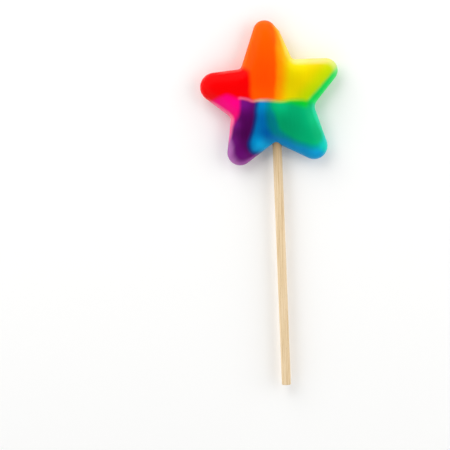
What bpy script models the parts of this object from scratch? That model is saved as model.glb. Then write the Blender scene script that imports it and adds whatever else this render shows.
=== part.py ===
"""Rainbow star lollipop: one pressed sugar star on a birch stick, lying on its back.

Run with blender --background --python part.py, or from Blender's text editor.
Metres, +Z up. The origin is the middle of the small flat spot on the star's back, which it rests on.
+Y runs along the stick towards the star's top arm, and +Z points out of the star's face.
"""
import math

import bmesh
import bpy
import numpy as np

MM = 0.001

# The star's outline runs round these circles, clockwise from the top arm as seen on the face.
# Each has a compass bearing from +Y in degrees, the distance in millimetres from the star's centre
# to the circle's edge that way, and a radius in millimetres. An arm's round end has its far edge
# named and a positive radius, and a notch its near edge and a negative one.
OUTLINE_CIRCLES = (
    ("top arm", -4.2, 51.5, 7.5),
    ("top arm's clipped corner", 5.6, 45.4, 2.4),
    ("notch, upper right", 29.5, 29.5, -3.1),
    ("right arm", 64.1, 47.3, 7.9),
    ("notch, right", 100.9, 28.3, -6.0),
    ("lower right arm", 140.4, 50.0, 8.8),
    ("notch over the stick", 178.5, 28.9, -3.2),
    ("lower left arm", 213.0, 49.3, 8.3),
    ("notch, left", 248.3, 30.0, -4.2),
    ("left arm", 284.1, 47.7, 9.4),
    ("notch, upper left", 316.3, 28.7, -2.2),
)
ARC_STEP = math.radians(17)     # one outline point for each such turn round a circle
SIDE_STEP = 5.0 * MM            # longest stretch between points on a straight side

# The star's thickness: a rounded edge all round, and faces that swell a little towards the middle.
MIDDLE_Z = 7.5 * MM             # height of the widest line, and of the stick's axis
EDGE_WIDTH = 9.0 * MM           # how far in from the outline the edge is rounded
EDGE_RISE = 6.3 * MM            # height of the rounded edge above the widest line
CROWN = 1.7 * MM                # what the face gains on top of that towards the middle
CROWN_REACH = 12.0 * MM         # how deep inside the outline most of the crown is gained
CLOSEST = 0.05 * MM             # keeps the soft distance finite on the outline itself
STAR_RINGS = 24                 # rings of the sphere that the star is pressed from

# The stick is a birch dowel, fixed in the star with its far end free.
STICK_RADIUS = 3.0 * MM
STICK_LENGTH = 200.0 * MM
STICK_X = 2.1 * MM              # the stick sits a little to the right of the star's centre
STICK_TOP_Y = 10.0 * MM         # how far up inside the star it reaches
STICK_SIDES = 28
STICK_CHAMFER = 0.4 * MM
FIT_GAP = 0.3 * MM              # clearance between the candy and the stick

# Where one candy colour meets the next on the face, for the colours of the star's own faces.
SEAM_Y = -2.0 * MM              # the level line between the warm and the cool colours
UPPER_BANDS = ((-14.5 * MM, "red"), (5.4 * MM, "orange"), (math.inf, "yellow"))
LOWER_BANDS = ((-21.0 * MM, "pink"), (-10.5 * MM, "purple"), (1.5 * MM, "blue"), (math.inf, "green"))
CANDY_COLOURS = {
    "red": (0.93, 0.01, 0.01),
    "orange": (1.0, 0.11, 0.004),
    "yellow": (0.84, 0.66, 0.01),
    "pink": (0.9, 0.01, 0.19),
    "purple": (0.1, 0.01, 0.11),
    "blue": (0.005, 0.2, 0.46),
    "green": (0.01, 0.46, 0.17),
}
BIRCH_COLOUR = (0.72, 0.55, 0.38)


def clear_scene():
    for thing in list(bpy.data.objects):
        bpy.data.objects.remove(thing, do_unlink=True)


def make_material(name, colour, roughness):
    material = bpy.data.materials.new(name)
    material.use_nodes = True
    shader = material.node_tree.nodes["Principled BSDF"]
    shader.inputs["Base Color"].default_value = (*colour, 1.0)
    shader.inputs["Roughness"].default_value = roughness
    shader.inputs["Metallic"].default_value = 0.0
    material.diffuse_color = (*colour, 1.0)
    return material


def circle_centres():
    """Centre and signed radius of each outline circle, in metres."""
    centres = []
    for _, bearing, reach, radius in OUTLINE_CIRCLES:
        angle = math.radians(bearing)
        distance = (reach - radius) * MM
        centres.append((distance * math.sin(angle), distance * math.cos(angle), radius * MM))
    return centres


def side_normal(start, end):
    """Direction, as an angle, that the straight side between two circles faces.

    The side touches both circles, so along its normal it lies one signed radius from each centre.
    """
    run_x, run_y = end[0] - start[0], end[1] - start[1]
    across = (start[2] - end[2]) / math.hypot(run_x, run_y)
    return math.atan2(run_y, run_x) + math.acos(across)


def wrapped(angle):
    return (angle + math.pi) % (2 * math.pi) - math.pi


def star_outline():
    """The outline's points, clockwise: an arc on each circle, then a straight side to the next."""
    circles = circle_centres()
    count = len(circles)
    normals = [side_normal(circles[i], circles[(i + 1) % count]) for i in range(count)]
    points = []
    for i, (x, y, radius) in enumerate(circles):
        before, after = normals[i - 1], normals[i]
        turn = wrapped(after - before)
        steps = max(1, round(abs(turn) / ARC_STEP))
        for k in range(steps + 1):
            angle = before + turn * k / steps
            points.append((x + radius * math.cos(angle), y + radius * math.sin(angle)))
        next_x, next_y, next_radius = circles[(i + 1) % count]
        end = (next_x + next_radius * math.cos(after), next_y + next_radius * math.sin(after))
        begin = points[-1]
        pieces = max(1, round(math.dist(begin, end) / SIDE_STEP))
        for k in range(1, pieces):
            share = k / pieces
            points.append((begin[0] + (end[0] - begin[0]) * share, begin[1] + (end[1] - begin[1]) * share))
    if len(points) % 2:
        points.insert(1, tuple((points[0][axis] + points[1][axis]) / 2 for axis in range(2)))
    return points


def depth_inside(x, y, outline):
    """How deep a point lies inside the outline.

    Beside a straight side this is the distance to it. Between two sides their distances flow
    into each other, so that no crease runs along the middle of an arm. It sums the inverse
    fourth power of the distance along every side of the outline.
    """
    start = np.array(outline)
    run = np.roll(start, -1, axis=0) - start
    length = np.hypot(run[:, 0], run[:, 1])
    along = run / length[:, None]
    offset = np.array((x, y)) - start
    first = -(offset * along).sum(axis=1)
    last = first + length
    across = np.maximum(abs(offset[:, 0] * along[:, 1] - offset[:, 1] * along[:, 0]), CLOSEST)

    def summed_to(s):
        return s / (2 * across**2 * (across**2 + s**2)) + np.arctan(s / across) / (2 * across**3)

    pull = (summed_to(last) - summed_to(first)).sum()
    return (2 * pull / math.pi) ** (-1 / 3)


def face_height(depth):
    """Height of the face above the widest line, at this depth inside the outline."""
    inward = min(depth / EDGE_WIDTH, 1.0)
    rounded = EDGE_RISE * math.sqrt(1 - (1 - inward) ** 2)
    crowned = CROWN * (1 - math.exp(-depth / CROWN_REACH))
    return rounded + crowned


def band_at(x, y):
    """Name of the candy colour at a place on the face."""
    bands = UPPER_BANDS if y > SEAM_Y else LOWER_BANDS
    return next(name for limit, name in bands if x < limit)


def make_candy_star(collection):
    """The star, pressed from a sphere whose meridians end on the outline's points."""
    outline = star_outline()
    count = len(outline)
    sphere = bmesh.new()
    bmesh.ops.create_uvsphere(sphere, u_segments=count, v_segments=STAR_RINGS, radius=1.0)
    for vertex in sphere.verts:
        share = min(math.hypot(vertex.co.x, vertex.co.y), 1.0)
        index = round(math.atan2(vertex.co.x, vertex.co.y) / (2 * math.pi) * count) % count
        side = math.copysign(1, vertex.co.z)
        x, y = outline[index][0] * share, outline[index][1] * share
        height = 0.0
        if abs(vertex.co.z) > 0.001:
            height = face_height(depth_inside(x, y, outline))
        vertex.co = (x, y, max(0.0, MIDDLE_Z + side * height))
    bmesh.ops.recalc_face_normals(sphere, faces=sphere.faces)

    slots = list(CANDY_COLOURS)
    for face in sphere.faces:
        middle = face.calc_center_median()
        face.material_index = slots.index(band_at(middle.x, middle.y))
    mesh = bpy.data.meshes.new("candy_star")
    sphere.to_mesh(mesh)
    sphere.free()
    for name, colour in CANDY_COLOURS.items():
        mesh.materials.append(make_material(f"boiled_sugar_{name}", colour, 0.3))
    mesh.shade_smooth()
    star = bpy.data.objects.new("candy_star", mesh)
    collection.objects.link(star)
    return star


def add_rod(name, radius, top_y, length, collection):
    """A rod along Y whose upper end is at top_y, on the stick's axis."""
    rod = bmesh.new()
    bmesh.ops.create_cone(rod, cap_ends=True, segments=STICK_SIDES, radius1=radius, radius2=radius, depth=length)
    mesh = bpy.data.meshes.new(name)
    rod.to_mesh(mesh)
    rod.free()
    thing = bpy.data.objects.new(name, mesh)
    thing.rotation_euler = (math.radians(90), 0, 0)
    thing.location = (STICK_X, top_y - length / 2, MIDDLE_Z)
    collection.objects.link(thing)
    return thing


def make_stick(collection):
    stick = add_rod("stick", STICK_RADIUS, STICK_TOP_Y, STICK_LENGTH, collection)
    stick.data.materials.append(make_material("birch_dowel", BIRCH_COLOUR, 0.6))
    stick.data.shade_smooth()
    stick.data.set_sharp_from_angle(angle=math.radians(40))
    chamfer = stick.modifiers.new("chamfered ends", "BEVEL")
    chamfer.width = STICK_CHAMFER
    chamfer.segments = 1
    chamfer.limit_method = "ANGLE"
    chamfer.angle_limit = math.radians(60)
    return stick


def cut_socket(star, cutters):
    """The blind hole in the star that the stick fills."""
    cutter = add_rod("stick_socket", STICK_RADIUS + FIT_GAP, STICK_TOP_Y + FIT_GAP, STICK_LENGTH, cutters)
    cutter.hide_render = True
    cutter.display_type = "WIRE"
    socket = star.modifiers.new("stick socket", "BOOLEAN")
    socket.operation = "DIFFERENCE"
    socket.solver = "EXACT"
    socket.object = cutter


def main():
    clear_scene()
    lollipop = bpy.data.collections.new("lollipop")
    cutters = bpy.data.collections.new("lollipop cutters")
    for collection in (lollipop, cutters):
        bpy.context.scene.collection.children.link(collection)
    star = make_candy_star(lollipop)
    make_stick(lollipop)
    cut_socket(star, cutters)
    bpy.context.view_layer.update()


main()
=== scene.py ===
# Rainbow star lollipop: a thick star of pressed boiled sugar on a turned birch stick.
# It lies on its back on a white table top, in soft studio light that comes from all round.
import math
import bmesh
import bpy
import numpy as np
from mathutils import Matrix, Vector, noise


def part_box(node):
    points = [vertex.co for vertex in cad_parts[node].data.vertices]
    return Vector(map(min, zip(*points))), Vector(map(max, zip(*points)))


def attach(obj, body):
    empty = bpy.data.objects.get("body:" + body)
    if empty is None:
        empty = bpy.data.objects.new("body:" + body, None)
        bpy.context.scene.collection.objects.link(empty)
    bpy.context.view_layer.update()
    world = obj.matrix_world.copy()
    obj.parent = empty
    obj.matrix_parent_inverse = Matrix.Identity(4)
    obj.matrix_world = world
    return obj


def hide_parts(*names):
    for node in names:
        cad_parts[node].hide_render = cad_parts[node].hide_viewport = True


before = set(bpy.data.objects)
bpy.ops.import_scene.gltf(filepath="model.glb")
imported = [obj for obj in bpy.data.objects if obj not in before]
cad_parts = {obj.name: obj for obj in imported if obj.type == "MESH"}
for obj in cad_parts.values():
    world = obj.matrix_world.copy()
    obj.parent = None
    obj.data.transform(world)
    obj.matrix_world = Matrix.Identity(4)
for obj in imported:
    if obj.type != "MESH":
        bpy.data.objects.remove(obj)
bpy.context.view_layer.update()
mm = 0.001
batches = 60  # long lists of places are worked through in this many parts, to spare memory
stickLow, stickHigh = (Vector(corner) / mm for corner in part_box("stick"))  # drawn in millimetres
stickX = (stickLow.x + stickHigh.x) / 2
middleZ = (stickLow.z + stickHigh.z) / 2  # height of the stick's axis and of the star's widest line
stickRadius = (stickHigh.z - stickLow.z) / 2
print("frame loaded:", ", ".join(sorted(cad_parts)))


# Helpers

def hexColour(text):  # sRGB hex to the linear colour that shaders work in
    channels = [int(text[i:i + 2], 16) / 255 for i in (0, 2, 4)]
    return [c / 12.92 if c <= 0.04045 else ((c + 0.055) / 1.055) ** 2.4 for c in channels] + [1.0]


def addNode(tree, kind, settings=None, links=None):  # settings name inputs or properties, links name inputs
    node = tree.nodes.new(kind)
    for key, value in (settings or {}).items():
        if isinstance(key, int) or key in node.inputs:
            node.inputs[key].default_value = value
        else:
            setattr(node, key, value)
    for key, socket in (links or {}).items():
        tree.links.new(socket, node.inputs[key])
    return node


def newMaterial(name):  # an empty node tree with its Principled shader on the output
    material = bpy.data.materials.new(name)
    material.use_nodes = True
    tree = material.node_tree
    tree.nodes.clear()
    shader = addNode(tree, "ShaderNodeBsdfPrincipled")
    addNode(tree, "ShaderNodeOutputMaterial", {}, {"Surface": shader.outputs["BSDF"]})
    return material, tree, shader


def addObject(name, mesh):
    thing = bpy.data.objects.new(name, mesh)
    bpy.context.scene.collection.objects.link(thing)
    return thing


def meshFrom(form, name):  # closes a bmesh into a smooth-shaded mesh, in metres
    bmesh.ops.scale(form, vec=(mm, mm, mm), verts=form.verts)
    mesh = bpy.data.meshes.new(name)
    form.to_mesh(mesh)
    form.free()
    mesh.shade_smooth()
    return mesh


def vertexPlaces(mesh):  # the mesh's vertices as rows of millimetres
    places = np.empty(len(mesh.vertices) * 3)
    mesh.vertices.foreach_get("co", places)
    return places.reshape(-1, 3) / mm


def storeValues(mesh, name, values):  # one number for each vertex, for a shader's Attribute node
    layer = mesh.attributes.new(name, "FLOAT", "POINT")
    layer.data.foreach_set("value", np.asarray(values, dtype=np.float32))


def smoothStep(values, low, high):
    t = np.clip((values - low) / (high - low), 0, 1)
    return t * t * (3 - 2 * t)


def bumpiness(places, grain, seed):  # seeded noise from -1 to 1 with lumps of that many millimetres
    shift = Vector((seed * 17.3, seed * 5.1, seed * 9.7))
    return np.array([noise.noise(Vector(place) / grain + shift) for place in places])


# The star

star = {
    # Circles that the outline runs round, clockwise from the top arm: bearing from +Y in degrees, the
    # distance from the centre to the circle's edge that way, and radius, which is negative in a notch.
    # They were fitted to the outline in the picture.
    "circles": [
        (-4.2, 51.5, 7.5), (5.6, 45.4, 2.4),  # the top arm, with a clipped corner on its right
        (29.5, 29.5, -3.1), (64.1, 47.3, 7.9),
        (100.9, 28.3, -6.0), (140.4, 50.0, 8.8),
        (178.5, 28.9, -3.2), (213.0, 49.3, 8.3),
        (248.3, 30.0, -4.2), (284.1, 47.7, 9.4),
        (316.3, 28.7, -2.2),
    ],
    "arcSteps": 24,  # points on each circle's arc
    "edgeWidth": 9.0,  # the rounding reaches this far in from the outline
    "edgeRise": 6.3,  # and rises this far above the widest line
    "crown": 1.7,  # the face swells this much more towards the middle
    "crownReach": 12.0,  # and most of that swelling is reached this far in
    "closest": 0.05,  # nearest to the outline that a depth is worked out
    "meridians": 480,  # of the sphere that is pressed into the star, and its rings
    "rings": 140,
    "handUneven": [(14.0, 0.16), (4.5, 0.05)],  # lumps left by pressing by hand: their size and height
    "rimUneven": (18.0, 0.22),
    "reliefFade": 4.5,  # the unevenness of the faces dies out this close to the rim
    "foldStep": (-0.4, 0.9),  # foot and lip of the fold's step, measured down from the fold
    "foldStarts": (-25.0, -19.0),  # x where the step begins and where it is whole
    "foldDies": (16.0, 27.0),  # x where it begins to die out and where it is gone
    "foldRise": (0.22, 7.0),  # the lower half stands proud along the fold: how high and how far out
    "foldSink": (0.24, 3.0),  # and the upper half is pressed down beside it
    "furrow": (0.07, 0.9),  # faint groove where two colours meet: depth and half width
    "socketFit": 0.04,  # the hole's wall stands this far off the stick
    "creaseAngle": 55,  # degrees past which an edge stays sharp
}

# Where one colour meets the next, in millimetres on the face: points read off the picture and then
# adjusted. Each is drawn from top to bottom, with the next colour on the left of the drawn direction.
# The fold and the edge of the grass green are drawn from left to right, and the warm colours and the
# grass green are above them.
borders = {
    "fold": [(-43.5, -1.7), (-39.5, 0.1), (-34.9, 2.6), (-32.2, 3.8), (-29.3, 4.6), (-26.2, 3.6),
             (-23.2, 1.9), (-20.7, 1.9), (-18.3, 1.5), (-15.7, 0.8), (-13.0, -0.3), (-10.5, -0.1),
             (-7.8, 0.1), (-3.2, 0.0), (3.9, -0.9), (7.8, -0.9), (11.7, -0.5), (18.2, -0.6),
             (22.1, -1.4), (25.4, -3.0), (30.1, -6.5)],
    "redOrange": [(-24.2, 22.3), (-20.8, 21.9), (-17.8, 21.4), (-15.6, 20.2), (-14.3, 18.3), (-13.8, 13.2),
                  (-14.0, 6.7), (-13.5, 0.8), (-13.3, -1.8)],
    "orangeYellow": [(3.8, 42.6), (4.1, 38.2), (3.7, 31.9), (3.6, 22.2), (3.2, 14.4), (2.0, 6.0),
                     (1.5, -1.8)],
    "yellowGreen": [(42.0, 18.1), (38.3, 14.6), (34.9, 10.9), (31.5, 7.2), (27.8, 3.5), (25.4, 1.0),
                    (23.1, -1.5)],
    "pinkPurple": [(-20.9, 3.1), (-21.1, -2.2), (-21.5, -6.1), (-22.7, -10.0), (-24.8, -13.3),
                   (-26.4, -16.6), (-27.5, -20.0), (-29.2, -24.6), (-31.5, -29.3)],
    "purpleBlue": [(-10.1, 0.0), (-10.5, -2.5), (-11.2, -6.4), (-11.8, -12.9), (-13.3, -18.1),
                   (-15.2, -23.2), (-16.7, -28.5), (-16.0, -31.9), (-13.9, -34.2), (-10.3, -35.1)],
    "blueGreen": [(-1.0, -0.3), (-0.9, -4.9), (1.2, -9.2), (2.5, -14.1), (3.8, -18.8), (6.4, -21.5),
                  (9.9, -24.3), (13.8, -26.7), (19.4, -28.9), (24.9, -30.6), (28.6, -30.6), (31.6, -29.2),
                  (35.5, -26.2)],
    "blueTeal": [(-3.9, -0.3), (-4.2, -4.5), (-4.5, -8.4), (-4.6, -12.3), (-4.2, -16.2), (-3.0, -19.6),
                 (-0.2, -22.8), (4.2, -25.0), (8.4, -26.7), (12.5, -29.1), (18.4, -31.4), (24.4, -33.2),
                 (29.0, -33.2), (33.0, -31.6), (37.0, -28.4)],
    "cyanTip": [(34.3, -20.6), (33.1, -24.4), (31.5, -28.2), (30.0, -30.8), (30.4, -33.4), (32.4, -35.8),
                (35.2, -38.0)],
    "grassEdge": [(-0.5, 0.8), (1.5, -1.4), (5.0, -2.3), (12.0, -3.5), (18.0, -5.4), (21.5, -6.2),
                  (24.0, -4.6), (25.4, -1.8), (26.2, 1.5)],
}
borderSteps = 10  # straight pieces between two drawn points
borderOverrun = 90.0  # each border runs on straight past its ends

# Paler and deeper pools: place, size, and how much paler (deeper is negative). They follow the ones in the
# picture. Most are the sugar's own tone; a few are painted light, marked where they stand.
poolsAndPaintedLight = [
    (-3.3, 46.3, 6.0, 0.15), (-4.5, 26.0, 7.0, -0.12), (-5.9, 12.9, 8.0, -0.3),  # in the orange
    (8.0, 33.0, 4.0, 0.3), (19.2, 22.0, 5.0, 0.35), (29.3, 17.8, 4.0, -0.1),  # amber and yellow
    (22.2, 1.9, 6.0, -0.3), (12.2, 12.1, 6.0, -0.3),
    (-30.0, -3.5, 4.0, 0.35), (-23.3, -0.7, 3.0, 0.4),  # pink
    (-18.2, -2.2, 3.5, 0.5), (-16.6, -11.4, 5.0, -0.25), (-17.7, -22.5, 5.5, -0.4),  # purple
    (-24.2, -15.2, 2.2, 0.5), (-26.2, -25.7, 2.5, 0.3), (-21.5, -37.0, 4.5, 0.2),
    (-6.5, -2.2, 3.5, 0.15), (-4.8, -11.5, 5.0, -0.35), (-5.0, -23.4, 4.3, -0.52),  # blue
    # the bright pool in the blue lobe is painted highlight, and the deep one at (-9.0, -34.0) is painted
    # shade at the arm's lower rim
    (-9.5, -29.5, 4.5, 0.75), (-15.1, -30.5, 3.0, -0.5), (-9.0, -34.0, 2.2, -0.5),
    (14.5, -32.7, 4.0, 0.1), (27.5, -35.0, 4.0, 0.35), (32.1, -30.0, 4.0, 0.3),
    (11.0, -20.4, 7.0, -0.25), (6.5, -12.5, 5.0, -0.15), (5.1, -4.0, 4.0, 0.4),  # green
    # the three paler pools at x 27 and 30 lie along the green's right rim: painted highlight
    (21.0, -5.5, 3.0, 0.25), (27.0, -5.0, 3.0, 0.4), (27.0, -12.5, 4.0, 0.5), (30.0, -20.0, 3.5, 0.2),
]

# Painted highlight along the rim, where the rounded edge catches the light: bearing from +Y in degrees, how
# much lighter and how much paler it is there, and how far in from the outline that dies out.
rim = [
    (0, 0.0, 0.0, 2.5), (6, 0.3, 0.0, 2.5), (10, 0.7, 0.04, 2.8), (18, 0.4, 0.1, 4.0),
    (26, 0.0, 0.09, 4.0), (33, 0.0, 0.25, 4.4), (58, 0.0, 0.28, 4.2), (66, 0.0, 0.22, 4.2),
    (71, 0.1, 0.06, 3.6), (76, 0.15, 0.0, 2.6), (92, 0.15, 0.0, 2.6), (100, 0.5, 0.0, 3.0),
    (116, 0.7, 0.0, 3.2), (126, 0.5, 0.0, 2.8), (134, 0.2, 0.0, 2.8), (142, 0.05, 0.0, 2.6),
    (175, 0.05, 0.0, 2.6), (192, 0.1, 0.0, 2.6), (202, 0.5, 0.03, 2.6),
    (208, 0.9, 0.05, 4.2), (214, 1.0, 0.1, 5.4), (221, 1.0, 0.09, 5.2), (228, 0.6, 0.07, 2.7),
    (236, 0.3, 0.14, 3.2), (244, 0.1, 0.22, 3.4), (250, 0.0, 0.2, 3.6), (262, 0.0, 0.2, 3.2),
    (268, 0.0, 0.15, 3.0), (272, 0.0, 0.04, 2.4), (275, 0.0, 0.0, 2.0), (297, 0.0, 0.0, 2.0),
    (302, 0.0, 0.07, 1.8), (314, 0.0, 0.06, 1.9), (318, 0.1, 0.02, 2.2), (324, 0.15, 0.0, 3.0),
    (345, 0.1, 0.0, 2.6), (360, 0.0, 0.0, 2.5),
]
# Painted highlight along the fold's edge, where the lower half's lip catches light: x, how pink and how pale
# it is.
foldHighlight = [
    (-22.6, 0.0, 0.0), (-20.8, 0.45, 0.0), (-13.0, 0.4, 0.0), (-10.5, 0.15, 0.3), (-8.5, 0.0, 0.3),
    (-5.0, 0.0, 0.24), (-1.0, 0.0, 0.16), (4.0, 0.0, 0.06), (10.0, 0.0, 0.0),
]
foldPatchy = (6.0, 0.4)  # that pale line comes and goes: lump size and how much
rimPatchy = (9.0, 0.35)  # and so does the painted rim highlight
middleTone = 0.5  # halfway between a colour's deep and paler tone, where there is no pool
throughShift = (26.0, 4.0)  # towards the back the colours drift: the drift's lump size and distance


def starOutline(count):  # evenly spaced points round the star, clockwise
    circles = []
    for bearing, reach, radius in star["circles"]:
        angle = math.radians(bearing)
        circles.append(((reach - radius) * math.sin(angle), (reach - radius) * math.cos(angle), radius))
    facing = []  # the way that each straight side faces, touching one circle and the next
    for (x, y, radius), (nextX, nextY, nextRadius) in zip(circles, circles[1:] + circles[:1]):
        lean = math.acos((radius - nextRadius) / math.hypot(nextX - x, nextY - y))
        facing.append(math.atan2(nextY - y, nextX - x) + lean)
    corners = []
    for i, (x, y, radius) in enumerate(circles):
        turn = (facing[i] - facing[i - 1] + math.pi) % (2 * math.pi) - math.pi
        for k in range(star["arcSteps"] + 1):
            angle = facing[i - 1] + turn * k / star["arcSteps"]
            corners.append((x + radius * math.cos(angle), y + radius * math.sin(angle)))
    corners = np.array(corners + corners[:1])
    travelled = np.concatenate([[0], np.cumsum(np.hypot(*np.diff(corners, axis=0).T))])
    stops = np.linspace(0, travelled[-1], count, endpoint=False)
    return np.column_stack([np.interp(stops, travelled, corners[:, axis]) for axis in (0, 1)])


def softDepth(places, edge):
    # How deep each place lies inside the outline. Beside a straight side it is the distance to it, and
    # the inverse fourth powers summed along the outline let the sides' distances flow together.
    run = np.roll(edge, -1, axis=0) - edge
    length = np.hypot(run[:, 0], run[:, 1])
    along = run / length[:, None]
    depths = []
    for some in np.array_split(places, batches):
        offset = some[:, None, :] - edge[None]
        first = -(offset * along).sum(axis=2)
        last = first + length
        across = abs(offset[..., 0] * along[:, 1] - offset[..., 1] * along[:, 0])
        across = np.maximum(across, star["closest"])
        pull = 0
        for sign, s in ((1, last), (-1, first)):
            straight = s / (across**2 * (across**2 + s**2))
            pull = pull + sign * (straight + np.arctan(s / across) / across**3) / 2
        depths.append((2 * pull.sum(axis=1) / math.pi) ** (-1 / 3))
    return np.concatenate(depths)


def borderCurve(name):  # a smooth curve through the drawn points, run on straight at both ends
    points = np.array(borders[name], dtype=float)
    held = np.vstack([2 * points[0] - points[1], points, 2 * points[-1] - points[-2]])
    curve = []
    for a, b, c, d in zip(held, held[1:], held[2:], held[3:]):
        bow, twist = 2 * a - 5 * b + 4 * c - d, 3 * b - a - 3 * c + d
        for t in np.linspace(0, 1, borderSteps, endpoint=False):
            curve.append(b + t * (c - a + t * (bow + t * twist)) / 2)
    curve.append(points[-1])
    before, after = points[0] - points[1], points[-1] - points[-2]
    start = points[0] + before / np.linalg.norm(before) * borderOverrun
    end = points[-1] + after / np.linalg.norm(after) * borderOverrun
    return np.vstack([start, curve, end])


def sideOf(name, places):  # distance from a border, positive on the left of its drawn direction
    curve = borderCurve(name)
    run = np.diff(curve, axis=0)
    squared = (run**2).sum(axis=1)
    distances = []
    for some in np.array_split(places, batches):
        offset = some[:, None, :] - curve[None, :-1]
        t = np.clip((offset * run).sum(axis=2) / squared, 0, 1)
        gap = offset - t[..., None] * run
        nearest = np.hypot(gap[..., 0], gap[..., 1]).argmin(axis=1)
        rows = np.arange(len(some))
        gap, offset = gap[rows, nearest], offset[rows, nearest]
        turn = run[nearest, 0] * offset[:, 1] - run[nearest, 1] * offset[:, 0]
        distances.append(np.hypot(gap[:, 0], gap[:, 1]) * np.where(turn >= 0, 1, -1))
    return np.concatenate(distances)


def foldStrength(x):  # the fold stands up from the left of the middle and dies out towards the right arm
    return smoothStep(x, *star["foldStarts"]) * (1 - smoothStep(x, *star["foldDies"]))


def pressStar():  # a sphere whose meridians are led out to the outline and whose poles are the two faces
    edge = starOutline(star["meridians"])
    ball = bmesh.new()
    bmesh.ops.create_uvsphere(ball, u_segments=star["meridians"], v_segments=star["rings"], radius=1.0)
    sphere = np.array([vertex.co for vertex in ball.verts])
    share = np.minimum(np.hypot(sphere[:, 0], sphere[:, 1]), 1.0)
    bearing = np.arctan2(sphere[:, 0], sphere[:, 1]) / (2 * math.pi)
    meridian = np.rint(bearing * star["meridians"]).astype(int) % star["meridians"]
    flat = edge[meridian] * share[:, None]
    side = np.where(abs(sphere[:, 2]) < 1e-4, 0, np.sign(sphere[:, 2]))
    depth = softDepth(flat, starOutline(star["meridians"] // 2))

    inward = np.minimum(depth / star["edgeWidth"], 1)
    rise = star["edgeRise"] * np.sqrt(1 - (1 - inward) ** 2)
    rise += star["crown"] * (1 - np.exp(-depth / star["crownReach"]))

    below = -sideOf("fold", flat)
    past = smoothStep(below, *star["foldStep"])
    height, reach = star["foldRise"]
    relief = height * past * np.exp(-np.maximum(below, 0) / reach)
    height, reach = star["foldSink"]
    relief -= height * (1 - past) * np.exp(-np.maximum(-below, 0) / reach)
    relief *= foldStrength(flat[:, 0])
    furrowDepth, furrowWidth = star["furrow"]
    for name in ("redOrange", "orangeYellow", "pinkPurple", "purpleBlue", "blueGreen"):
        ownHalf = below < 0 if name in ("redOrange", "orangeYellow") else below > 0
        relief -= furrowDepth * np.exp(-(sideOf(name, flat) / furrowWidth) ** 2) * ownHalf
    solid = np.column_stack([flat, side * rise])
    for seed, (grain, height) in enumerate(star["handUneven"]):
        relief += height * bumpiness(solid, grain, seed + 1)
    relief *= smoothStep(depth, 0.0, star["reliefFade"])

    grain, height = star["rimUneven"]
    outward = flat / np.maximum(np.hypot(flat[:, 0], flat[:, 1]), 1e-6)[:, None]
    flat = flat + outward * (height * share**3 * bumpiness(solid, grain, 7))[:, None]
    level = np.maximum(middleZ + side * (rise + relief), 0.0)  # the back's middle is flat, where it lies
    for vertex, (x, y), z in zip(ball.verts, flat, level):
        vertex.co = (x, y, z)
    bmesh.ops.recalc_face_normals(ball, faces=ball.faces)
    return meshFrom(ball, "starBlank")


def cutSocket(blank):  # the blind hole that the stick was pushed into while the sugar was warm
    drill = bmesh.new()
    reach = stickHigh.y - stickLow.y
    radius = stickRadius + star["socketFit"]
    turn = Matrix.Translation((stickX, stickHigh.y + star["socketFit"] - reach / 2, middleZ))
    bmesh.ops.create_cone(drill, cap_ends=True, segments=stick["sides"], radius1=radius, radius2=radius,
                          depth=reach, matrix=turn @ Matrix.Rotation(math.radians(90), 4, "X"))
    cutter = addObject("socketDrill", meshFrom(drill, "socketDrill"))
    cut = blank.modifiers.new("socket", "BOOLEAN")
    cut.operation = "DIFFERENCE"
    cut.solver = "EXACT"
    cut.object = cutter
    bpy.context.view_layer.update()
    mesh = bpy.data.meshes.new_from_object(blank.evaluated_get(bpy.context.evaluated_depsgraph_get()))
    blank.modifiers.clear()
    blank.data = mesh
    bpy.data.objects.remove(cutter, do_unlink=True)
    mesh.shade_smooth()
    mesh.set_sharp_from_angle(angle=math.radians(star["creaseAngle"]))


def storeFlow(mesh):  # what the sugar's shader needs to know at each vertex
    places = vertexPlaces(mesh)
    grain, distance = throughShift
    downwards = np.clip((2 * middleZ - 1.0 - places[:, 2]) / (2 * middleZ), 0, 1)
    drifted = places[:, :2].copy()
    for axis in (0, 1):
        drifted[:, axis] += distance * downwards * bumpiness(places, grain, 20 + axis)
    for name in borders:
        storeValues(mesh, name, sideOf(name, drifted))
    glow = np.full(len(places), middleTone)
    for x, y, size, amount in poolsAndPaintedLight:
        glow += amount * np.exp(-((drifted[:, 0] - x) ** 2 + (drifted[:, 1] - y) ** 2) / (2 * size**2))
    storeValues(mesh, "glow", glow)
    # the fold's painted highlight: how pink and how pale, along x
    xStops, *strengths = zip(*foldHighlight)
    patch, change = foldPatchy
    onFace = smoothStep(places[:, 2], middleZ, middleZ + 4)  # not on the side or the back
    onFace *= 1 + change * bumpiness(places, patch, 25)
    for name, strength in zip(("foldPinkHighlight", "foldPaleHighlight"), strengths):
        storeValues(mesh, name, np.interp(places[:, 0], xStops, strength) * onFace)
    depth = softDepth(places[:, :2], starOutline(star["meridians"] // 2))
    bearing = np.degrees(np.arctan2(places[:, 0], places[:, 1])) % 360
    # the rim's painted highlight: how much lighter and paler, dying out inwards
    light, paleHighlight, reach = (np.interp(bearing, *np.array(rim).T[[0, k]]) for k in (1, 2, 3))
    patch, change = rimPatchy
    fading = (1 - smoothStep(depth, reach / 4, reach)) * (1 + change * bumpiness(places, patch, 24))
    storeValues(mesh, "rimLight", fading * light)
    storeValues(mesh, "rimPaintedHighlight", fading * paleHighlight)


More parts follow.
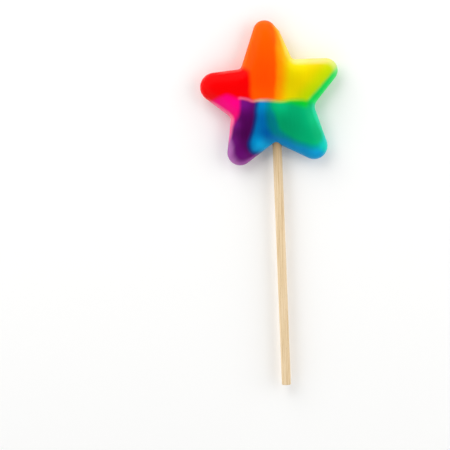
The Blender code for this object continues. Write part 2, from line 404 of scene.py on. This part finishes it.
# Boiled sugar: a glass of sugar, cooked and pulled, then pressed while soft. Its skin is smooth but not
# polished, so it gleams softly, and light goes a millimetre or two into it before coming back.
sugar = {
    "ior": 1.53,
    "specular": 0.1,  # air trapped in the skin keeps it from shining like clear glass
    "roughness": (0.28, 0.4),
    "scatterDepth": 1.3,  # millimetres that red light travels inside
    "scatter": 0.3,
    "scatterTint": (1.0, 0.75, 0.6),  # red, green and blue light, as shares of that depth
    "wobble": (8.0, 0.5),  # borders wander: size of a bend and how far, in millimetres
    "streak": (0.9, 14.0, 0.07),  # pulled strands: width, length and how much they change the tone
    "bubble": (0.9, 0.22, 0.030),  # tiny open bubbles: spacing, radius as a share of it, and depth
    "skin": (0.35, 0.006),  # the mould's fine texture: size and depth
    "foldSoftness": 2.1,  # how softly the warm half goes over into the cool half
    "foldHighlight": 1.7,  # half width of the painted highlight along the fold's edge
    "highlightGamma": 0.5,  # the painted rim highlight lightens the colour with this gamma
}

# Each colour as it is where the sugar is deep, and where it is paler.
colours = {
    "red": ("ec0000", "fc0208"),
    "orange": ("ff4400", "ff6e00"),
    "amber": ("f08200", "fca404"),
    "yellow": ("d6be00", "f8e400"),
    "lime": ("a8d000", "d0e80a"),
    "leaf": ("08d24c", "10e45e"),
    "pink": ("ee0068", "ff0284"),
    "purple": ("420444", "781080"),
    "navy": ("161e68", "1c4c96"),
    "blue": ("005aa0", "02a8de"),
    "teal": ("00687a", "02aca6"),
    "cyan": ("00a0bc", "04d2b8"),
    "green": ("008c5a", "04c480"),
    "grass": ("00b83c", "12dc18"),
}
highlightTints = {"rimPaintedHighlight": "fff0e2", "foldPinkHighlight": "ff7c9e", "foldPaleHighlight": "d4f0a0"}  # painted highlight colours: on the rim and along the fold

# The colours in the order that they follow each other: the border that leads to the colour, how far
# past it the change lies, and how soft the change is, in millimetres.
warmSide = ["red", ("redOrange", 0.0, 2.4, "orange"), ("orangeYellow", 0.0, 2.0, "amber"),
            ("orangeYellow", 5.6, 4.2, "yellow"), ("yellowGreen", -6.0, 6.5, "lime"),
            ("yellowGreen", 0.0, 1.6, "leaf")]
coolSide = ["pink", ("pinkPurple", 0.0, 1.8, "purple"), ("purpleBlue", -1.0, 1.2, "navy"),
            ("purpleBlue", 1.1, 1.6, "blue"), ("blueTeal", 0.0, 2.5, "teal"),
            ("blueGreen", 0.0, 2.0, "green"), ("cyanTip", 0.0, 3.0, "cyan"),
            ("grassEdge", 0.6, 2.6, "grass")]


def sugarMaterial():
    material, tree, shader = newMaterial("boiledSugar")
    place = addNode(tree, "ShaderNodeTexCoord").outputs["Object"]

    bend, wander = sugar["wobble"]
    bends = addNode(tree, "ShaderNodeTexNoise", {"Scale": 1 / (bend * mm), "Detail": 3.0}, {"Vector": place})
    wandering = addNode(tree, "ShaderNodeMapRange", {"To Min": -wander, "To Max": wander},
                        {"Value": bends.outputs["Fac"]}).outputs["Result"]
    past = {}  # millimetres past each border, bends included
    for name in borders:
        stored = addNode(tree, "ShaderNodeAttribute", {"attribute_name": name})
        past[name] = addNode(tree, "ShaderNodeMath", {"operation": "ADD"},
                             {0: stored.outputs["Fac"], 1: wandering}).outputs["Value"]

    width, length, change = sugar["streak"]
    perStrand = (1 / (width * mm), 1 / (length * mm), 1 / (3 * width * mm))
    stretched = addNode(tree, "ShaderNodeMapping", {"Scale": perStrand}, {"Vector": place})
    strands = addNode(tree, "ShaderNodeTexNoise", {"Scale": 1.0, "Detail": 2.0},
                      {"Vector": stretched.outputs["Vector"]})
    strandTone = addNode(tree, "ShaderNodeMapRange", {"To Min": -change, "To Max": change},
                         {"Value": strands.outputs["Fac"]})
    stored = addNode(tree, "ShaderNodeAttribute", {"attribute_name": "glow"})
    tone = addNode(tree, "ShaderNodeMath", {"operation": "ADD", "use_clamp": True},
                   {0: stored.outputs["Fac"], 1: strandTone.outputs["Result"]}).outputs["Value"]
    toned = {}
    for name, (deep, paler) in colours.items():
        ends = {"data_type": "RGBA", 6: hexColour(deep), 7: hexColour(paler)}
        toned[name] = addNode(tree, "ShaderNodeMix", ends, {0: tone}).outputs[2]

    halves = []
    for first, *changes in (warmSide, coolSide):
        colour = toned[first]
        for border, offset, softness, name in changes:
            crossed = addNode(tree, "ShaderNodeMapRange",
                              {"interpolation_type": "SMOOTHSTEP", "From Min": offset - softness,
                               "From Max": offset + softness}, {"Value": past[border]})
            colour = addNode(tree, "ShaderNodeMix", {"data_type": "RGBA"},
                             {0: crossed.outputs["Result"], 6: colour, 7: toned[name]}).outputs[2]
        halves.append(colour)

    above = addNode(tree, "ShaderNodeMapRange",
                    {"interpolation_type": "SMOOTHSTEP", "From Min": -sugar["foldSoftness"],
                     "From Max": sugar["foldSoftness"]}, {"Value": past["fold"]})
    colour = addNode(tree, "ShaderNodeMix", {"data_type": "RGBA"},
                     {0: above.outputs["Result"], 6: halves[1], 7: halves[0]}).outputs[2]

    # painted highlight on the rim: the colour lightened where rimLight is high
    rimHighlight = addNode(tree, "ShaderNodeAttribute", {"attribute_name": "rimLight"})
    lighter = addNode(tree, "ShaderNodeGamma", {"Gamma": sugar["highlightGamma"]}, {"Color": colour})
    colour = addNode(tree, "ShaderNodeMix", {"data_type": "RGBA"},
                     {0: rimHighlight.outputs["Fac"], 6: colour, 7: lighter.outputs["Color"]}).outputs[2]
    # painted highlight along the fold, then the rim's and the fold's painted highlight colours mixed in
    off = addNode(tree, "ShaderNodeMath", {"operation": "ABSOLUTE"}, {0: past["fold"]})
    near = addNode(tree, "ShaderNodeMapRange",
                   {"interpolation_type": "SMOOTHSTEP", "From Min": 0.0, "From Max": sugar["foldHighlight"],
                    "To Min": 1.0, "To Max": 0.0}, {"Value": off.outputs["Value"]})
    for name, tint in highlightTints.items():
        amount = addNode(tree, "ShaderNodeAttribute", {"attribute_name": name}).outputs["Fac"]
        if name.startswith("fold"):
            amount = addNode(tree, "ShaderNodeMath", {"operation": "MULTIPLY"},
                             {0: near.outputs["Result"], 1: amount}).outputs["Value"]
        colour = addNode(tree, "ShaderNodeMix", {"data_type": "RGBA", 7: hexColour(tint)},
                         {0: amount, 6: colour}).outputs[2]
    tree.links.new(colour, shader.inputs["Base Color"])

    smooth, dull = sugar["roughness"]
    gleam = addNode(tree, "ShaderNodeMapRange", {"To Min": smooth, "To Max": dull},
                    {"Value": bends.outputs["Fac"]})
    tree.links.new(gleam.outputs["Result"], shader.inputs["Roughness"])

    spacing, wide, deep = sugar["bubble"]
    cells = addNode(tree, "ShaderNodeTexVoronoi", {"Scale": 1 / (spacing * mm), "Randomness": 1.0},
                    {"Vector": place})
    pits = addNode(tree, "ShaderNodeMapRange", {"From Min": 0.0, "From Max": wide},
                   {"Value": cells.outputs["Distance"]})
    pitted = addNode(tree, "ShaderNodeBump", {"Strength": 0.6, "Distance": deep * mm},
                     {"Height": pits.outputs["Result"]})
    size, deep = sugar["skin"]
    skin = addNode(tree, "ShaderNodeTexNoise", {"Scale": 1 / (size * mm), "Detail": 2.0}, {"Vector": place})
    skinned = addNode(tree, "ShaderNodeBump", {"Strength": 1.0, "Distance": deep * mm},
                      {"Height": skin.outputs["Fac"], "Normal": pitted.outputs["Normal"]})
    tree.links.new(skinned.outputs["Normal"], shader.inputs["Normal"])

    shader.inputs["IOR"].default_value = sugar["ior"]
    shader.inputs["Specular IOR Level"].default_value = sugar["specular"]
    shader.inputs["Subsurface Weight"].default_value = sugar["scatter"]
    shader.inputs["Subsurface Radius"].default_value = sugar["scatterTint"]
    shader.inputs["Subsurface Scale"].default_value = sugar["scatterDepth"] * mm
    return material


# The stick

stick = {
    "sides": 56,
    "lengths": 180,  # rings along it
    "endRound": 0.35,
    "endRings": (0.5, 0.7, 0.7),  # widths of the rings in the sawn ends
    "sawn": (0.7, 0.06),  # the saw leaves the end rough: grain size and height
    "creaseAngle": 45,  # degrees past which an edge stays sharp
    "outOfRound": (22.0, 0.05),  # a sanded dowel is never quite round or straight: size and height
    "groove": (0.55, 14.0, 0.035),  # open grain lines: width, length and depth
    "grooveFrom": (0.15, 0.6),  # strength of the grain where a groove begins and where it is deepest
    "mostLift": 0.02,  # the wood stands out no further than this
    "mouth": (-34.0, -26.0),  # y well outside the candy, and inside its socket, where the stick is true
    "comesOut": -28.0,  # y where it leaves the candy
    "shadeAndStainReach": 11.0,  # painted shade from the candy, over a faint sugar stain, reaches this far down the wood
    "endGrain": (0.05, 0.3),  # the darker end grain: whole this near the end, and gone this far from it
}


def turnStick():
    reach = stickHigh.y - stickLow.y
    rod = bmesh.new()
    bmesh.ops.create_cone(rod, cap_ends=True, segments=stick["sides"], radius1=stickRadius,
                          radius2=stickRadius, depth=reach)
    rims = [edge for edge in rod.edges if abs(edge.verts[0].co.z - edge.verts[1].co.z) < 1e-3]
    bmesh.ops.bevel(rod, geom=rims, offset=stick["endRound"], offset_type="OFFSET", segments=3, profile=0.5,
                    affect="EDGES", material=-1)
    ends = [face for face in rod.faces if len(face.verts) > 4]
    for thickness in stick["endRings"]:
        bmesh.ops.inset_region(rod, faces=ends, thickness=thickness, depth=0.0)
    long = [edge for edge in rod.edges if abs(edge.verts[0].co.z - edge.verts[1].co.z) > reach / 2]
    bmesh.ops.subdivide_edges(rod, edges=long, cuts=stick["lengths"], use_grid_fill=True)
    turn = Matrix.Translation((stickX, stickLow.y + reach / 2, middleZ))
    turn = turn @ Matrix.Rotation(math.radians(90), 4, "X")
    bmesh.ops.transform(rod, matrix=turn, verts=rod.verts)

    places = np.array([vertex.co for vertex in rod.verts])
    lump, height = stick["outOfRound"]
    width, length, deep = stick["groove"]
    grain, rough = stick["sawn"]
    lumps = height * bumpiness(places, lump, 31)
    lines = bumpiness(places / (width, length, width), 1.0, 32)
    lines = -deep * smoothStep(lines, *stick["grooveFrom"])
    for vertex, lift in zip(rod.verts, lumps + lines):
        out = Vector((vertex.co.x - stickX, 0, vertex.co.z - middleZ))
        inside = smoothStep(vertex.co.y, *stick["mouth"])
        if out.length > stickRadius * 0.8:  # on the side, not on an end
            vertex.co += out.normalized() * float(min(lift * (1 - inside), stick["mostLift"]))
        elif vertex.co.y < stickLow.y + 1:
            vertex.co.y += rough * noise.noise(Vector(vertex.co) / grain)
    bmesh.ops.recalc_face_normals(rod, faces=rod.faces)
    mesh = meshFrom(rod, "birchStick")
    mesh.set_sharp_from_angle(angle=math.radians(stick["creaseAngle"]))
    return mesh


def storeWood(mesh):
    places = vertexPlaces(mesh)
    # painted shade where the stick leaves the candy, over a faint sugar stain
    outside = np.maximum(stick["comesOut"] - places[:, 1], 0)
    storeValues(mesh, "stainAndShade", np.exp(-outside / stick["shadeAndStainReach"]))
    endWards = np.minimum(places[:, 1] - stickLow.y, stickHigh.y - places[:, 1])
    storeValues(mesh, "endGrain", 1 - smoothStep(endWards, *stick["endGrain"]))


# Birch: a pale, close-grained wood. The dowel is turned and sanded, not varnished, so it is matt, with
# fine lines and short darker flecks along it.
birch = {
    "pale": "f4dcb8",
    "middle": "e8cda2",
    "dark": "d2b082",
    "fleck": "b08a60",
    # painted shade near the candy, with a faint sugar stain
    "stainAndShadeColour": "8a6a40",
    "grainStops": (0.3, 0.48, 0.7),  # strength of the grain where the wood is dark, middle and pale
    "fleckFrom": (0.66, 0.76, 0.55),  # where a fleck begins, where it is whole, and how strongly it shows
    "tinted": (("endGrain", 0.5, "dark"), ("stainAndShade", 0.85, "stainAndShadeColour")),  # where, how strongly, which colour
    "ior": 1.5,
    "roughness": (0.5, 0.68),
    "grain": (0.5, 30.0),  # width and length of the growth lines in millimetres
    "fibre": (0.16, 6.0),
    "fibreDepth": 0.02,
    "flecks": (0.22, 2.6),
}


def birchMaterial():
    material, tree, shader = newMaterial("birchDowel")
    place = addNode(tree, "ShaderNodeTexCoord").outputs["Object"]
    patterns = {}
    for name, detail in (("grain", 3.0), ("fibre", 2.0), ("flecks", 1.0)):
        width, length = birch[name]
        perLine = (1 / (width * mm), 1 / (length * mm), 1 / (width * mm))
        stretched = addNode(tree, "ShaderNodeMapping", {"Scale": perLine}, {"Vector": place})
        patterns[name] = addNode(tree, "ShaderNodeTexNoise", {"Scale": 1.0, "Detail": detail},
                                 {"Vector": stretched.outputs["Vector"]}).outputs["Fac"]
    lines = addNode(tree, "ShaderNodeValToRGB", {}, {"Fac": patterns["grain"]})
    ramp = lines.color_ramp
    darkStop, middleStop, paleStop = birch["grainStops"]
    ramp.elements[0].position, ramp.elements[1].position = darkStop, paleStop
    ramp.elements[0].color, ramp.elements[1].color = hexColour(birch["dark"]), hexColour(birch["pale"])
    middle = ramp.elements.new(middleStop)
    middle.color = hexColour(birch["middle"])
    begins, whole, darkest = birch["fleckFrom"]
    flecked = addNode(tree, "ShaderNodeMapRange",
                      {"interpolation_type": "SMOOTHSTEP", "From Min": begins, "From Max": whole,
                       "To Max": darkest}, {"Value": patterns["flecks"]})
    colour = addNode(tree, "ShaderNodeMix", {"data_type": "RGBA", 7: hexColour(birch["fleck"])},
                     {0: flecked.outputs["Result"], 6: lines.outputs["Color"]}).outputs[2]
    for name, strength, tint in birch["tinted"]:
        stored = addNode(tree, "ShaderNodeAttribute", {"attribute_name": name})
        amount = addNode(tree, "ShaderNodeMath", {"operation": "MULTIPLY", 1: strength},
                         {0: stored.outputs["Fac"]})
        colour = addNode(tree, "ShaderNodeMix", {"data_type": "RGBA", 7: hexColour(birch[tint])},
                         {0: amount.outputs["Value"], 6: colour}).outputs[2]
    tree.links.new(colour, shader.inputs["Base Color"])
    smooth, dull = birch["roughness"]
    gleam = addNode(tree, "ShaderNodeMapRange", {"To Min": smooth, "To Max": dull},
                    {"Value": patterns["fibre"]})
    tree.links.new(gleam.outputs["Result"], shader.inputs["Roughness"])
    fibres = addNode(tree, "ShaderNodeBump", {"Strength": 1.0, "Distance": birch["fibreDepth"] * mm},
                     {"Height": patterns["fibre"]})
    tree.links.new(fibres.outputs["Normal"], shader.inputs["Normal"])
    shader.inputs["IOR"].default_value = birch["ior"]
    return material


def makeStar():
    piece = addObject("rainbowStar", pressStar())
    cutSocket(piece)
    storeFlow(piece.data)
    piece.data.materials.clear()
    piece.data.materials.append(sugarMaterial())
    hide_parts("candy_star")
    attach(piece, "root")
    print("star pressed:", len(piece.data.polygons), "faces")


def makeStick():
    piece = addObject("birchStick", turnStick())
    storeWood(piece.data)
    piece.data.materials.append(birchMaterial())
    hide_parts("stick")
    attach(piece, "root")
    print("stick turned:", len(piece.data.polygons), "faces")


# The table top, the light and the camera

studio = {
    "tableSize": 6000.0,
    "table": "fdfdfc",
    "tableRoughness": (0.75, 0.9),
    "mottle": 111.0,  # size of the patches where its roughness changes
    "skyRim": 1.0,  # the white walls of the light tent
    "skyTop": 0.03,  # its open, dark top
    "topFrom": (0.72, 0.93),  # sine of the height where the walls end and where the top is dark
    "skyStrength": 1.0,
    "softboxes": [  # place, size, watts
        ("keySoftbox", (-600, 900, 800), 1200, 10.0),
        ("fillSoftbox", (1000, 200, 700), 1000, 4.0),
    ],
}


def tableMaterial():  # white laminate: matt, with the faintest mottling
    material, tree, shader = newMaterial("whiteLaminate")
    place = addNode(tree, "ShaderNodeTexCoord").outputs["Object"]
    patches = 1 / (studio["mottle"] * mm)
    mottle = addNode(tree, "ShaderNodeTexNoise", {"Scale": patches, "Detail": 2.0}, {"Vector": place})
    smooth, dull = studio["tableRoughness"]
    gleam = addNode(tree, "ShaderNodeMapRange", {"To Min": smooth, "To Max": dull},
                    {"Value": mottle.outputs["Fac"]})
    tree.links.new(gleam.outputs["Result"], shader.inputs["Roughness"])
    shader.inputs["Base Color"].default_value = hexColour(studio["table"])
    return material


def makeStudio():
    top = bmesh.new()
    bmesh.ops.create_grid(top, x_segments=2, y_segments=2, size=studio["tableSize"] / 2)
    table = addObject("tableTop", meshFrom(top, "tableTop"))
    table.data.materials.append(tableMaterial())

    world = bpy.data.worlds.new("lightTent")
    bpy.context.scene.world = world
    world.use_nodes = True
    tree = world.node_tree
    tree.nodes.clear()
    direction = addNode(tree, "ShaderNodeTexCoord").outputs["Generated"]
    upwards = addNode(tree, "ShaderNodeSeparateXYZ", {}, {0: direction})
    wallsEnd, topDark = studio["topFrom"]
    glow = addNode(tree, "ShaderNodeMapRange",
                   {"interpolation_type": "SMOOTHSTEP", "From Min": wallsEnd, "From Max": topDark,
                    "To Min": studio["skyRim"], "To Max": studio["skyTop"]},
                   {"Value": upwards.outputs["Z"]})
    background = addNode(tree, "ShaderNodeBackground", {"Strength": studio["skyStrength"]},
                         {"Color": glow.outputs["Result"]})
    addNode(tree, "ShaderNodeOutputWorld", {}, {"Surface": background.outputs["Background"]})
    world.cycles_visibility.glossy = False  # a polarising filter keeps the tent's glare off the sugar

    for name, place, size, watts in studio["softboxes"]:
        lamp = bpy.data.lights.new(name, "AREA")
        lamp.size = size * mm
        lamp.energy = watts
        box = addObject(name, lamp)
        box.visible_glossy = False  # and the softboxes' glare as well
        box.location = Vector(place) * mm
        box.rotation_euler = (-box.location).to_track_quat("-Z", "Y").to_euler()
    bpy.context.scene.view_settings.view_transform = "Standard"  # clean whites and full colours
    print("studio lit")


camera = {
    "pictureSize": 450,  # pixels each way
    "pixel": 0.652,  # millimetres at the star, from the stick's width
    "starCentre": (272.1, 98.9),  # where the star's centre falls in the picture
    "tilt": 8.0,  # degrees that the camera leans from straight above towards the star's top
    "lean": 2.4,  # degrees that the stick leans in the picture, top to the left
    "distance": 1500.0,
    "sensor": 36.0,
    "clip": (0.01, 20),  # metres: nearest and farthest that it sees
}


def makeCamera():
    tilt, lean = math.radians(camera["tilt"]), math.radians(camera["lean"])
    back = Vector((0, math.sin(tilt), math.cos(tilt)))
    right = Vector((math.sin(lean), math.cos(lean), 0)).cross(back).normalized()
    up = back.cross(right)
    half = camera["pictureSize"] / 2
    aside = (half - camera["starCentre"][0]) * camera["pixel"]
    down = (camera["starCentre"][1] - half) * camera["pixel"]
    target = Vector((0, 0, middleZ)) + right * aside + up * down
    lens = bpy.data.cameras.new("pictureCamera")
    lens.sensor_width = camera["sensor"]
    lens.lens = camera["sensor"] * camera["distance"] / (camera["pictureSize"] * camera["pixel"])
    lens.clip_start, lens.clip_end = camera["clip"]
    eye = addObject("pictureCamera", lens)
    eye.matrix_world = Matrix((right, up, back)).transposed().to_4x4()
    eye.location = (target + back * camera["distance"]) * mm
    bpy.context.scene.camera = eye
    print("camera set")


makeCamera()
makeStar()
makeStick()
makeStudio()
